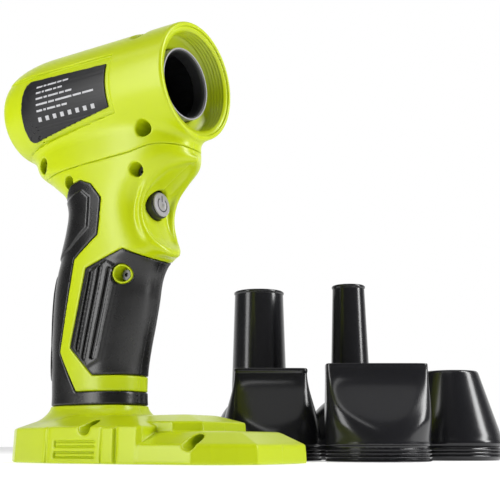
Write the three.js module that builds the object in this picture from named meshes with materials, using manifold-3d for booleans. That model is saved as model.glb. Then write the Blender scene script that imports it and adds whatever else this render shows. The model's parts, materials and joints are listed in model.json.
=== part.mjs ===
// Cordless turbo leaf blower with a slide-on battery foot and five screw-on nozzles.
// Millimetres. X points the way the air blows, Z is up, the origin is the middle of the foot's underside.
import * as THREE from 'three';
import { mergeVertices } from 'three/addons/utils/BufferGeometryUtils.js';
import Module from 'manifold-3d';

// ---- Driving dimensions ----------------------------------------------------------------------------

const GAP = 0.3; // clearance left between neighbouring pieces
const WALL = 2.4; // moulded shell wall
const GRIP_DEPTH = 1.5; // thickness of the rubber overmould
const BIG = 200; // larger than any piece, for cutting tools

const AXIS_HEIGHT = 192.5; // blowing axis above the ground
const BARREL = { front: 25, rear: -93, radius: 31, intakeRadius: 20, roundLength: 31 };
const THREAD = { crest: 26.4, root: 27.6, turns: 5, pitch: 1.9 };
const DUCT = { outer: 19, inner: 17, front: 9.3, rear: -66 };
const RIBS = [-62, -12]; // x of the ribs that hold the fan unit in its rubber dampers
const OUTLET_RING = { front: 17.5, rear: 9.6 };
const IMPELLER = { x: -50, length: 12, radius: 16.6, hub: 8, blades: 7 };
const BLADE_PITCH = THREE.MathUtils.degToRad(38);
const MOTOR = { front: -10, rear: -40, radius: 10.4, vanes: 5 };
const MOUTH_FLOOR = 11.5; // x of the deepest point of the mouth's funnel floor

const BUTTON = { x: 0, z: 129.3, radius: 7.1, capRadius: 6.6, proud: 3.5, tilt: 0.1, capThickness: 1 };

const FOOT = { rear: -85, front: 75, halfWidth: 39, lowTop: 8.3, rearTop: 16.5, stepX: 24, roof: 22.5 };
const MID_TIER = { front: 44, halfWidth: 27, bottom: 14.4, top: 18.6 };
const BAY = { rear: -50, front: 24, halfWidth: 30, depth: 10.5, frontDepth: 5.6, frontEnd: 60 };
const RAIL = { front: -8, height: 3, reach: 3.5 };
const TERMINAL = { length: 34, width: 26, top: 11.2 };

const BAND = { bottom: 28, top: 34.5 }; // rubber band round the bottom of the handle
const FLANGE = { radius: 28.7, height: 8 }; // threaded ring at the bottom of every nozzle

// Handle and neck: hand-chosen [height, value] points of three smooth profiles, rear edge, front edge
// and half width, and the squareness of the cross-section.
const REAR_EDGE = [
  [18, -62.5], [28, -61], [46, -62.6], [64, -64], [86, -63.6], [104, -60], [120, -54.5], [130, -53],
  [139, -57], [147, -67], [156, -79], [172, -84],
];
const FRONT_EDGE = [
  [18, -7], [28, -9.2], [44, -8.7], [56, -6.5], [68, -3.7], [80, -1.5], [92, 0.2], [99, 3.4],
  [104.6, 9], [112, 4.2], [121, 0], [129, -0.6], [136, 3], [143, 12.5], [148, 20], [153, 22.8], [172, 22],
];
const HALF_WIDTH = [
  [18, 18.5], [28, 17.4], [60, 17.6], [92, 17.6], [115, 18.2], [130, 19], [145, 20.6],
  [156, 21.6], [172, 21],
];
const SQUARENESS = [[18, 2.9], [60, 2.5], [100, 2.6], [130, 2.9], [172, 2.5]];

// Every screw runs along Y from the right-hand side: where it is, and where its head sits.
const SCREWS = {
  screw_barrel_top: { x: 1.2, z: 218, headY: -10 },
  screw_barrel_front: { x: 4.8, z: 165.2, headY: -9 },
  screw_barrel_rear: { x: -67, z: 158, headY: -11 },
  screw_neck_front: { x: 0.5, z: 144.5, headY: -13 },
  screw_neck_rear: { x: -45, z: 144.5, headY: -13 },
  screw_handle: { x: -10, z: 92.5, headY: -11 },
  screw_foot_rear: { x: -9.5, z: 16.4, headY: -24 },
  screw_foot_front: { x: 50, z: 9.4, headY: -20 },
};
const SCREW = { headRadius: 2.7, headHeight: 2.2, shankRadius: 1.4, pocketRadius: 3.3, bossRadius: 4.6 };
const SCREW_REACH = 9; // how far each screw passes into the left-hand half

// ---- Materials -------------------------------------------------------------------------------------

function finish(color, roughness, metalness = 0) {
  return new THREE.MeshStandardMaterial({ color, roughness, metalness });
}

const LIME = finish(0xcddf1a, 0.4);
const RUBBER = finish(0x3a3a3c, 0.75);
const BLACK_GLOSS = finish(0x1c1c1f, 0.2);
const BLACK_PLASTIC = finish(0x222224, 0.5);
const GREY_PLASTIC = finish(0xa5a0a8, 0.45);
const LABEL_FILM = finish(0x2c2c30, 0.35);
const STEEL = finish(0xb8b8bc, 0.3, 1);
const ALUMINIUM = finish(0xc4c6ca, 0.35, 1);
const BRASS = finish(0xc9a24a, 0.3, 1);
const GREEN_BOARD = finish(0x1f6b3a, 0.5);
const RED_WIRE = finish(0xb02020, 0.5);

// ---- Solids ----------------------------------------------------------------------------------------

const wasm = await Module();
wasm.setup();

// The closed solid inside a three.js geometry, with its faces pointing out.
function solid(geometry) {
  const bare = geometry.index ? geometry.toNonIndexed() : geometry.clone();
  bare.deleteAttribute('normal');
  bare.deleteAttribute('uv');
  const merged = mergeVertices(bare, 1e-4);
  const vertProperties = new Float32Array(merged.attributes.position.array);
  const corners = merged.index.array;
  let triangles = [];
  for (let i = 0; i < corners.length; i += 3) {
    const [a, b, c] = [corners[i], corners[i + 1], corners[i + 2]];
    if (a !== b && b !== c && c !== a) triangles.push([a, b, c]);
  }
  if (enclosedVolume(vertProperties, triangles) < 0) triangles = triangles.map(([a, b, c]) => [a, c, b]);
  const triVerts = new Uint32Array(triangles.flat());
  return new wasm.Manifold(new wasm.Mesh({ numProp: 3, vertProperties, triVerts }));
}

function enclosedVolume(positions, triangles) {
  const point = (i) => new THREE.Vector3().fromArray(positions, i * 3);
  let sum = 0;
  for (const [a, b, c] of triangles) sum += point(a).dot(point(b).cross(point(c)));
  return sum / 6;
}

const group = new THREE.Group();

// Adds one named piece to the blower.
function piece(name, shape, material, parent = group) {
  const result = shape.getMesh();
  const geometry = new THREE.BufferGeometry();
  geometry.setAttribute('position', new THREE.BufferAttribute(new Float32Array(result.vertProperties), 3));
  geometry.setIndex(new THREE.BufferAttribute(new Uint32Array(result.triVerts), 1));
  geometry.computeVertexNormals();
  const mesh = new THREE.Mesh(geometry, material);
  mesh.name = name;
  parent.add(mesh);
  return mesh;
}

function box(x0, x1, y0, y1, z0, z1) {
  const geometry = new THREE.BoxGeometry(x1 - x0, y1 - y0, z1 - z0);
  geometry.translate((x0 + x1) / 2, (y0 + y1) / 2, (z0 + z1) / 2);
  return solid(geometry);
}

// A solid of revolution about Z from [height, radius] points that start and end on the axis or close.
function latheZ(profile, segments = 32) {
  const points = profile.map(([height, radius]) => new THREE.Vector2(radius, height));
  const geometry = new THREE.LatheGeometry(points, segments);
  geometry.rotateX(Math.PI / 2);
  return geometry;
}

// The same about the blowing axis, from [x, radius] points.
function latheX(profile, segments = 32) {
  const geometry = latheZ(profile, segments);
  geometry.rotateY(Math.PI / 2);
  geometry.translate(0, 0, AXIS_HEIGHT);
  return solid(geometry);
}

// A closed ring about the blowing axis.
function ringX(x0, x1, inner, outer, segments = 32) {
  return latheX([[x0, inner], [x0, outer], [x1, outer], [x1, inner], [x0, inner]], segments);
}

function cylinderY(x, z, radius, y0, y1, segments = 12) {
  const geometry = new THREE.CylinderGeometry(radius, radius, y1 - y0, segments);
  geometry.translate(x, (y0 + y1) / 2, 0);
  geometry.translate(0, 0, z);
  return solid(geometry);
}

// An outline in the X-Z plane, given as [x, z] points, made into a slab between two values of y.
function slabY(outline, y0, y1) {
  const shape = new THREE.Shape(outline.map(([x, z]) => new THREE.Vector2(x, z)));
  const geometry = new THREE.ExtrudeGeometry(shape, { depth: y1 - y0, bevelEnabled: false });
  geometry.rotateX(Math.PI / 2);
  geometry.translate(0, y1, 0);
  return solid(geometry);
}

// A plan outline of [x, y] points between two heights, whose top is remapped to its own bounds.
function tier(outline, low, high, top = null) {
  const shape = new THREE.Shape(outline.map(([x, y]) => new THREE.Vector2(x, y)));
  const geometry = new THREE.ExtrudeGeometry(shape, { depth: high - low, bevelEnabled: false });
  const xs = outline.map(([x]) => x);
  const ys = outline.map(([, y]) => y);
  const [rear, front, half] = [Math.min(...xs), Math.max(...xs), Math.max(...ys)];
  reshape(geometry, (p) => {
    if (top && p.z > 0) {
      p.x = THREE.MathUtils.mapLinear(p.x, rear, front, top.rear, top.front);
      p.y *= top.halfWidth / half;
    }
    p.z += low;
  });
  return solid(geometry);
}

// Moves every vertex of a geometry by a function of its place.
function reshape(geometry, move) {
  const position = geometry.attributes.position;
  const point = new THREE.Vector3();
  for (let i = 0; i < position.count; i += 1) {
    point.fromBufferAttribute(position, i);
    move(point);
    position.setXYZ(i, point.x, point.y, point.z);
  }
  return geometry;
}

// Reads a smooth curve through [height, value] points at any height.
function smooth(points, height) {
  const last = points.length - 1;
  const h = THREE.MathUtils.clamp(height, points[0][0], points[last][0]);
  let i = 0;
  while (i < last - 1 && h > points[i + 1][0]) i += 1;
  const slope = (k) => {
    const [a, b] = [points[Math.max(k - 1, 0)], points[Math.min(k + 1, last)]];
    return (b[1] - a[1]) / (b[0] - a[0]);
  };
  const span = points[i + 1][0] - points[i][0];
  const t = (h - points[i][0]) / span;
  const ease = t * t * (3 - 2 * t);
  const start = t * (1 - t) * (1 - t) * span * slope(i);
  const end = t * t * (t - 1) * span * slope(i + 1);
  return points[i][1] * (1 - ease) + points[i + 1][1] * ease + start + end;
}

// Handle and neck between two heights, shrunk all round by an inset.
function handleLoft(low, high, inset, sides = 28, steps = 22) {
  const geometry = new THREE.CylinderGeometry(1, 1, 1, sides, steps);
  geometry.rotateX(Math.PI / 2);
  reshape(geometry, (p) => {
    const height = THREE.MathUtils.mapLinear(p.z, -0.5, 0.5, low, high);
    const rear = smooth(REAR_EDGE, height) + inset;
    const front = smooth(FRONT_EDGE, height) - inset;
    const power = 2 / smooth(SQUARENESS, height);
    const bulge = (value) => Math.sign(value) * Math.abs(value) ** power;
    const onAxis = Math.hypot(p.x, p.y) < 0.5;
    p.x = (rear + front) / 2 + (onAxis ? 0 : ((front - rear) / 2) * bulge(p.x));
    p.y = onAxis ? 0 : (smooth(HALF_WIDTH, height) - inset) * bulge(p.y);
    p.z = height;
  });
  return solid(geometry);
}

const RIGHT = box(-BIG, BIG, -BIG, -GAP / 2, -BIG, 2 * BIG);
const LEFT = box(-BIG, BIG, GAP / 2, BIG, -BIG, 2 * BIG);

// Makes the right-hand and left-hand halves of a clamshell piece.
function halves(name, right, left, material) {
  piece(`${name}_right`, right.intersect(RIGHT), material);
  piece(`${name}_left`, left.intersect(LEFT), material);
}

// ---- Screws, their bosses and their holes ----------------------------------------------------------

function screwBosses(names) {
  return names.map((name) => {
    const { x, z } = SCREWS[name];
    return cylinderY(x, z, SCREW.bossRadius, -BIG, BIG);
  });
}

function screwHoles(names) {
  return names.map((name) => {
    const { x, z, headY } = SCREWS[name];
    const pocket = cylinderY(x, z, SCREW.pocketRadius, -BIG, headY + SCREW.headHeight + GAP);
    return pocket.add(cylinderY(x, z, SCREW.shankRadius + GAP, headY, SCREW_REACH + GAP, 8));
  });
}

function addScrews() {
  for (const [name, { x, z, headY }] of Object.entries(SCREWS)) {
    const head = cylinderY(x, z, SCREW.headRadius, headY, headY + SCREW.headHeight, 12);
    const drive = cylinderY(x, z, 1.2, headY - 1, headY + 1.2, 6);
    const shank = cylinderY(x, z, SCREW.shankRadius, headY + 1.5, SCREW_REACH, 8);
    piece(name, head.add(shank).subtract(drive), STEEL);
  }
}

const addAll = (base, shapes) => shapes.reduce((sum, shape) => sum.add(shape), base);
const cutAll = (base, shapes) => shapes.reduce((rest, shape) => rest.subtract(shape), base);

// ---- Head: barrel shells, label recess, mouth ------------------------------------------------------

// Rounded end of the barrel as [x, radius] points, shrunk by an inset.
function barrelCorner(inset) {
  const points = [];
  const steps = 6;
  for (let i = 0; i <= steps; i += 1) {
    const angle = (i / steps) * (Math.PI / 2);
    const x = BARREL.rear + inset + BARREL.roundLength * (1 - Math.sin(angle));
    const rim = BARREL.intakeRadius + WALL;
    points.push([x, rim - inset + (BARREL.radius - rim) * Math.cos(angle)]);
  }
  return points.reverse();
}

function barrelOutside(grow = 0) {
  const rear = BARREL.rear - grow;
  return latheX([[rear, 0], ...barrelCorner(-grow), [BARREL.front + grow, BARREL.radius + grow],
    [BARREL.front + grow, 0]], 36);
}

function barrelInside() {
  const { rear, front, radius, intakeRadius } = BARREL;
  return latheX([[rear - 1, 0], [rear - 1, intakeRadius], [rear + WALL, intakeRadius],
    ...barrelCorner(WALL).slice(1), [front + 1, radius - WALL], [front + 1, 0]], 28);
}

// The seam between head and neck, as seen from the side.
const SEAM = [[-110, 150], [-75, 150.5], [-35, 151.8], [-4, 153.6], [10, 156.6], [20, 156.2], [60, 152]];

function aboveSeam(lift) {
  const line = SEAM.map(([x, z]) => [x, z + lift]);
  return slabY([...line, [60, 2 * BIG], [-110, 2 * BIG]], -BIG, BIG);
}

const LABEL = [[-12, 177.5], [-12, 200.5], [-61, 201.5], [-66, 197], [-68, 186], [-66, 175], [-61, 171.5]];
const LABEL_RECESS = [[-8, 174.5], [-8, 205], [-110, 207], [-110, 164.5], [-83, 166]];

const RECESS_DEPTH = 0.9;
const LABEL_FACE = 0.3; // depth of the label's face below the barrel

// The skin of the barrel between two depths, over a side outline.
function barrelSkin(outline, depth, grow) {
  const skin = barrelOutside(grow).subtract(barrelOutside(-depth));
  return skin.intersect(slabY(outline, -BIG, BIG));
}

const HEAD_SCREWS = ['screw_barrel_top', 'screw_barrel_front', 'screw_barrel_rear'];

function addHeadShells() {
  const neckTop = handleLoft(140, 172, 0, 24, 5);
  const outside = barrelOutside().add(neckTop);
  const ribs = RIBS.map((x) => ringX(x, x + 2, DUCT.outer + 2.9, BARREL.radius - 1, 28));
  const wallRear = BARREL.rear + 4.6;
  const rearWall = ringX(wallRear, wallRear + 2, BARREL.intakeRadius + 1, BARREL.radius - 4, 28);
  let shell = outside.subtract(barrelInside()).subtract(handleLoft(100, 168, WALL + 0.8, 16, 8));
  shell = addAll(shell, [...ribs, rearWall, ...screwBosses(HEAD_SCREWS)]).intersect(outside);
  shell = cutAll(shell, screwHoles(HEAD_SCREWS)).subtract(barrelSkin(LABEL_RECESS, RECESS_DEPTH + 0.1, 1));
  shell = shell.intersect(aboveSeam(GAP / 2));
  const grilleSeat = ringX(BARREL.rear + WALL, BARREL.rear + WALL + 2, 1, BARREL.intakeRadius + 2, 28);
  halves('head_shell', shell.subtract(grilleSeat), shell.subtract(grilleSeat), LIME);
}

function addLabels() {
  const layer = barrelOutside(-LABEL_FACE).subtract(barrelOutside(-RECESS_DEPTH));
  const plates = layer.intersect(slabY(LABEL, -BIG, BIG));
  halves('side_label', plates, plates, LABEL_FILM);
}

// The mouth piece: female thread, then a funnel floor curving in to the outlet ring.
function addMouth() {
  const outer = BARREL.radius - WALL - GAP;
  const profile = [[24.2, outer]];
  for (let i = 0; i < THREAD.turns; i += 1) {
    const x = 24.2 - i * THREAD.pitch;
    profile.push([x, THREAD.root], [x - THREAD.pitch / 2, THREAD.crest]);
  }
  const bore = OUTLET_RING.front;
  profile.push([14, THREAD.root - 0.4], [12.4, 24.5], [MOUTH_FLOOR, 22], [MOUTH_FLOOR, DUCT.outer + GAP]);
  profile.push([9.8, DUCT.outer + GAP], [9.8, 22], [11.6, 27], [12.4, outer], [24.2, outer]);
  piece('mouth_ring', latheX(profile, 28), LIME);
  piece('outlet_ring', ringX(OUTLET_RING.rear, bore, DUCT.inner, DUCT.outer, 28), GREY_PLASTIC);
}

function circlePoints(radius, count) {
  return Array.from({ length: count }, (_, i) => {
    const angle = (i / count) * Math.PI * 2;
    return new THREE.Vector2(radius * Math.cos(angle), radius * Math.sin(angle));
  });
}

// Round cover over the air intake, with three rings of curved slots.
function addIntakeGrille() {
  const outline = new THREE.Shape();
  outline.setFromPoints(circlePoints(BARREL.intakeRadius - GAP, 28));
  for (const [ring, radius] of [6, 11, 16].entries()) {
    const count = 4 + ring * 2;
    const step = (Math.PI * 2) / count;
    for (let i = 0; i < count; i += 1) {
      const [from, to] = [i * step + 1.3 / radius, (i + 1) * step - 1.3 / radius];
      const slot = new THREE.Path();
      slot.absarc(0, 0, radius + 1.6, from, to, false);
      slot.absarc(0, 0, radius - 1.6, to, from, true);
      outline.holes.push(slot);
    }
  }
  const plate = new THREE.ExtrudeGeometry(outline, { depth: 2, bevelEnabled: false, curveSegments: 2 });
  plate.rotateY(Math.PI / 2);
  plate.translate(BARREL.rear + 0.2, 0, AXIS_HEIGHT);
  const flange = ringX(BARREL.rear + WALL + 0.1, BARREL.rear + 4.2, 18.2, BARREL.intakeRadius + 1.6, 28);
  const neck = ringX(BARREL.rear + 1, BARREL.rear + 3, 18.2, BARREL.intakeRadius - GAP, 28);
  piece('intake_grille', solid(plate).add(flange).add(neck), BLACK_PLASTIC);
}

// ---- Fan unit --------------------------------------------------------------------------------------

function addFanUnit() {
  const { inner, outer, front, rear } = DUCT;
  const bell = [[front, inner], [front, outer], [rear, outer], [rear - 5, outer + 2.4], [rear - 5, outer + 1.4],
    [rear, inner], [front, inner]];
  piece('fan_duct', latheX(bell, 24), ALUMINIUM);
  for (const [name, x] of [['rear_duct_damper', RIBS[0]], ['front_duct_damper', RIBS[1]]]) {
    piece(name, ringX(x - 1, x + 3, outer + 0.4, outer + 2.6, 24), RUBBER);
  }

  const vanes = [];
  for (let i = 0; i < MOTOR.vanes; i += 1) {
    vanes.push(fanBlade(i / MOTOR.vanes, -24, 14, MOTOR.radius + 1, inner - 0.2, 0.35, 0.7));
  }
  const sleeve = ringX(MOTOR.rear + 6, MOTOR.front, MOTOR.radius + GAP, MOTOR.radius + 1.5, 28);
  piece('vane_carrier', addAll(sleeve, vanes), BLACK_PLASTIC);
  const body = latheX([[MOTOR.rear + 3, 1.9], [MOTOR.rear + 3, MOTOR.radius], [MOTOR.front + 1, MOTOR.radius],
    [MOTOR.front + 12, 4], [MOTOR.front + 13, 0], [MOTOR.front - 2, 0], [MOTOR.front - 2, 1.9],
    [MOTOR.rear + 3, 1.9]], 28);
  piece('motor', body, BLACK_PLASTIC);

  const [shaftRear, shaftFront] = [IMPELLER.x - 10, MOTOR.front - 3];
  const shaft = latheX([[shaftRear, 0], [shaftRear, 1.5], [shaftFront, 1.5], [shaftFront, 0]], 12);
  piece('motor_shaft', shaft, STEEL);
  const half = IMPELLER.length / 2;
  const hub = latheX([[IMPELLER.x - half - 4, 1.6], [IMPELLER.x - half - 4, 2.6], [IMPELLER.x - half, 5.6],
    [IMPELLER.x, IMPELLER.hub - 0.6], [IMPELLER.x + half, IMPELLER.hub], [IMPELLER.x + half, 1.6],
    [IMPELLER.x - half - 4, 1.6]], 28);
  const sweep = latheX([[IMPELLER.x - half, 0], [IMPELLER.x - half, IMPELLER.radius],
    [IMPELLER.x + half, IMPELLER.radius], [IMPELLER.x + half, 0]], 28);
  const blades = [];
  for (let i = 0; i < IMPELLER.blades; i += 1) {
    const blade = new THREE.BoxGeometry(IMPELLER.length - 3, 1, IMPELLER.radius - 4);
    blade.rotateZ(-BLADE_PITCH);
    blade.translate(0, 0, 6 + (IMPELLER.radius - 4) / 2);
    blade.rotateX((i / IMPELLER.blades) * Math.PI * 2);
    blade.translate(IMPELLER.x, 0, AXIS_HEIGHT);
    blades.push(solid(blade).intersect(sweep));
  }
  piece('impeller', addAll(hub, blades), BLACK_GLOSS);
}

// One twisted blade between two radii: a box whose slices turn about the blowing axis.
function fanBlade(turn, x, length, rootRadius, tipRadius, thickness, twist) {
  const geometry = new THREE.BoxGeometry(length, thickness, tipRadius - rootRadius, 2, 1, 1);
  geometry.translate(0, 0, (tipRadius + rootRadius) / 2);
  reshape(geometry, (p) => {
    const angle = turn * Math.PI * 2 + (p.x / length) * twist;
    const [y, z] = [p.y, p.z];
    p.y = y * Math.cos(angle) - z * Math.sin(angle);
    p.z = y * Math.sin(angle) + z * Math.cos(angle) + AXIS_HEIGHT;
    p.x += x;
  });
  return solid(geometry);
}

// ---- Handle: neck, grip core, foot -----------------------------------------------------------------

// Right half of a plan outline from rear to front, mirrored into a closed one.
function mirrored(halfOutline) {
  const right = halfOutline.map(([x, y]) => [x, -y]);
  const left = [...halfOutline].reverse();
  return [...right, ...left];
}

const REAR_FACETS = [[FOOT.rear, 10], [-82, 14], [-66, 27.5], [-36, 38], [-31, FOOT.halfWidth]];

function footBlock() {
  const low = mirrored([...REAR_FACETS, [20, FOOT.halfWidth], [55, 38], [61, 34.5], [70, 27], [FOOT.front, 21]]);
  const rear = mirrored([...REAR_FACETS, [FOOT.stepX, FOOT.halfWidth]]);
  const mid = mirrored([[-30, 27], [33, 27], [MID_TIER.front, 18]]);
  const roofBase = { rear: -66, front: 12, halfWidth: 22 };
  let block = tier(low, 0, FOOT.lowTop, { rear: -84, front: 73.6, halfWidth: 38.6 });
  block = block.add(tier(rear, 0, FOOT.rearTop, { rear: -83, front: FOOT.stepX, halfWidth: 38.2 }));
  block = block.add(tier(rear, FOOT.rearTop, FOOT.roof, roofBase));
  block = block.add(tier(low, FOOT.lowTop, MID_TIER.bottom, { rear: -50, front: 52, halfWidth: 29 }));
  block = block.add(tier(mid, 8, MID_TIER.top, { rear: -30, front: MID_TIER.front - 0.6, halfWidth: 26.6 }));
  block = block.add(tier(mid, MID_TIER.top, FOOT.roof, { rear: -20, front: 20, halfWidth: 15 }));
  for (const side of [-1, 1]) {
    const y = side * (FOOT.halfWidth - 1);
    const outer = y + side * 1.8;
    block = block.add(box(2.3, 9.5, Math.min(y, outer), Math.max(y, outer), 0, FOOT.rearTop - 1));
  }
  return block;
}

function batteryBay() {
  const { rear, front, halfWidth, depth, frontDepth, frontEnd } = BAY;
  let bay = box(rear, front, -halfWidth, halfWidth, RAIL.height, depth);
  bay = bay.add(box(rear, front, -halfWidth + RAIL.reach, halfWidth - RAIL.reach, -1, depth));
  bay = bay.add(box(RAIL.front, front, -halfWidth, halfWidth, -1, depth));
  bay = bay.add(box(front - 1, frontEnd, -20, 20, -1, frontDepth));
  const socket = box(-TERMINAL.length / 2 - GAP, TERMINAL.length / 2 + GAP, -TERMINAL.width / 2 - GAP,
    TERMINAL.width / 2 + GAP, -1, TERMINAL.top + GAP);
  return bay.add(socket).add(box(-30, -12, -8, 8, 5, 40));
}

const HANDLE_SCREWS = [
  'screw_neck_front', 'screw_neck_rear', 'screw_handle', 'screw_foot_rear', 'screw_foot_front',
];

const FRONT_GRIP = [[-32, 97.2], [-8.4, 105], [3.9, 99.6], [30, 92], [30, 42.6], [-25.7, 42.6], [-40.8, 57]];
const REAR_GRIP = [
  [-90, 139], [-50, 139], [-44, 142.5], [-36, 144], [-28.5, 141], [-22, 133], [-24.4, 114], [-40.8, 103],
  [-49, 55], [-36, BAND.top], [30, BAND.top], [30, BAND.bottom], [-90, BAND.bottom],
];

function gripLayer(outline, depth, outward) {
  const layer = handleLoft(20, 150, -outward, 24, 14).subtract(handleLoft(20, 150, depth, 16, 10));
  return layer.intersect(slabY(outline, -BIG, BIG));
}

// An outline moved outwards by a distance, along the bisector at each corner.
function grown(outline, distance) {
  const count = outline.length;
  const points = outline.map(([x, z]) => new THREE.Vector2(x, z));
  const direction = Math.sign(THREE.ShapeUtils.area(points));
  return points.map((point, i) => {
    const before = points[(i + count - 1) % count];
    const after = points[(i + 1) % count];
    const first = point.clone().sub(before).normalize();
    const second = after.clone().sub(point).normalize();
    const bisector = new THREE.Vector2(first.y + second.y, -first.x - second.x).normalize();
    const stretch = distance / Math.max(bisector.dot(new THREE.Vector2(first.y, -first.x)), 0.4);
    return [point.x + direction * bisector.x * stretch, point.y + direction * bisector.y * stretch];
  });
}

function addHandleShells() {
  const outside = handleLoft(18, 172, 0, 24, 20).subtract(aboveSeam(-GAP / 2)).add(footBlock());
  let shell = outside.subtract(handleLoft(26, 172, WALL + 0.8, 16, 10)).subtract(batteryBay());
  shell = addAll(shell, screwBosses(HANDLE_SCREWS).map((boss) => boss.intersect(outside)));
  const { x, z } = SCREWS.screw_handle;
  const handleBoss = cylinderY(x, z, 6.5, -BIG, 0, 20);
  const frontRecess = gripLayer(grown(FRONT_GRIP, GAP), GRIP_DEPTH + GAP, 2);
  const rearRecess = gripLayer(grown(REAR_GRIP, GAP), GRIP_DEPTH + GAP, 2);
  shell = shell.subtract(frontRecess.subtract(handleBoss)).subtract(rearRecess);
  shell = cutAll(shell, screwHoles(HANDLE_SCREWS)).subtract(buttonHole());
  halves('handle_shell', shell, shell, LIME);

  const frontGrip = gripLayer(FRONT_GRIP, GRIP_DEPTH, 0);
  const bossHole = cylinderY(x, z, 6.5 + GAP, -BIG, 0, 20);
  halves('front_grip', frontGrip.subtract(bossHole), frontGrip, RUBBER);
  const rearGrip = gripLayer(REAR_GRIP, GRIP_DEPTH, 0);
  halves('rear_grip', rearGrip, rearGrip, RUBBER);
}

// ---- Power button, switch and control board --------------------------------------------------------

// Turns a solid made about Z, with its face at the origin, to face out of the button panel.
function onPanel(profile, segments) {
  const geometry = latheZ(profile, segments);
  geometry.rotateY(Math.PI / 2 - BUTTON.tilt);
  geometry.translate(BUTTON.x, 0, BUTTON.z);
  return solid(geometry);
}

function buttonHole() {
  const { radius } = BUTTON;
  return onPanel([[-12, 0], [-12, radius + 1.6], [-3.6, radius + 1.6], [-3.6, radius + GAP], [12, radius + GAP],
    [12, 0]], 28);
}

function addButton() {
  const { radius, capRadius, proud, capThickness } = BUTTON;
  const capBack = proud - capThickness;
  piece('power_button', onPanel([[-6.5, 0], [-6.5, 2.2], [-5, 2.2], [-5, radius + 1.2], [-4, radius + 1.2],
    [-4, radius], [proud - 0.4, radius], [proud - 0.4, capRadius + 0.2], [capBack - 0.2, capRadius + 0.2],
    [capBack - 0.2, 0]], 28), BLACK_PLASTIC);
  const cap = onPanel([[capBack, 0], [capBack, capRadius], [proud, capRadius], [proud, 0]], 28);
  piece('button_cap', cap, GREY_PLASTIC);

  const [boardX, switchDepth] = [BUTTON.x - 14, 5];
  const board = box(boardX - 1.6, boardX, -12, 12, 108, 141);
  piece('control_board', board, GREEN_BOARD);
  const body = box(boardX + GAP, boardX + switchDepth, -3, 3, BUTTON.z - 4, BUTTON.z + 2);
  const switchFace = boardX + switchDepth;
  const plunger = box(switchFace - 1, switchFace + 1.2, -1.2, 1.2, BUTTON.z - 2.2, BUTTON.z + 0.2);
  piece('tact_switch', body.add(plunger), BLACK_PLASTIC);
}

// ---- Terminal block and wiring ---------------------------------------------------------------------

function addTerminals() {
  const { length, width, top } = TERMINAL;
  let block = box(-length / 2, length / 2, -width / 2, width / 2, 0, top);
  const blades = { terminal_positive: -9, terminal_sense: 0, terminal_negative: 9 };
  for (const y of Object.values(blades)) {
    block = block.subtract(box(-BIG, -4, y - 2, y + 2, 2.2, 8.5));
    block = block.subtract(box(-8, -1, y - 0.7, y + 0.7, 3, 8));
  }
  piece('terminal_block', block, BLACK_PLASTIC);
  for (const [name, y] of Object.entries(blades)) {
    piece(name, box(-15, -1.4, y - 0.4, y + 0.4, 3.4, 7.6), BRASS);
  }
}

function wire(name, points, material) {
  const route = new THREE.CatmullRomCurve3(points.map((p) => new THREE.Vector3(...p)));
  const section = new THREE.Shape();
  section.absarc(0, 0, 1, 0, Math.PI * 2);
  const options = { extrudePath: route, steps: 10, curveSegments: 3, bevelEnabled: false };
  piece(name, solid(new THREE.ExtrudeGeometry(section, options)), material);
}

function addWires() {
  for (const [name, y, material] of [['positive', -5, RED_WIRE], ['negative', 5, BLACK_PLASTIC]]) {
    const path = [[-19, y, 15.5], [-24, y, 26], [-38, y, 60], [-34, y, 90], [-17, y, 106]];
    wire(`battery_wire_${name}`, path, material);
  }
  for (const [i, y] of [-4, 0, 4].entries()) {
    wire(`motor_wire_${'abc'[i]}`, [[-17.5, y, 138], [-26, y, 146], [-30, y, 156], [-32, y, 170]], BLACK_PLASTIC);
  }
}

// ---- Nozzles ---------------------------------------------------------------------------------------

const NOZZLE_WALL = 2;
const NOZZLE_TURN = THREE.MathUtils.degToRad(33); // how far the loose nozzles are turned on the ground
// Where each loose nozzle stands, [x, y].
const NOZZLE_PLACES = {
  nozzle_wide_tube: [-28, 142],
  nozzle_narrow_tube: [32, 152],
  nozzle_flat: [14, 88],
  nozzle_fishtail: [75, 98],
  nozzle_cone: [91, 166],
};

// Outside of the threaded ring that every nozzle shares.
const FLANGE_PROFILE = [
  [0, 26], [0.6, 26.3], [2, FLANGE.radius], [6.4, FLANGE.radius], [7.4, 27.6], [FLANGE.height, 27.6],
];

function hollowNozzle(outline) {
  const top = outline[outline.length - 1][0];
  const inner = outline.filter(([height]) => height > 9)
    .map(([height, radius]) => [height, radius - NOZZLE_WALL]);
  const profile = [[0, 0], ...FLANGE_PROFILE, ...outline, [top, 0]];
  const bore = [[-1, 0], [-1, 23.4], [9, 23.4], ...inner, [top + 1, inner[inner.length - 1][1]], [top + 1, 0]];
  return solid(latheZ(profile, 20)).subtract(solid(latheZ(bore, 14)));
}

// The round shoulder of a tube nozzle as [height, radius] points, from its widest place up to its neck.
function bulb(radius, neckRadius, low, high, steps) {
  const last = Math.PI - Math.asin(neckRadius / radius);
  return Array.from({ length: steps + 1 }, (_, i) => {
    const angle = THREE.MathUtils.lerp(Math.PI / 2, last, i / steps);
    return [low + (high - low) * (Math.cos(angle) / Math.cos(last)), radius * Math.sin(angle)];
  });
}

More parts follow.
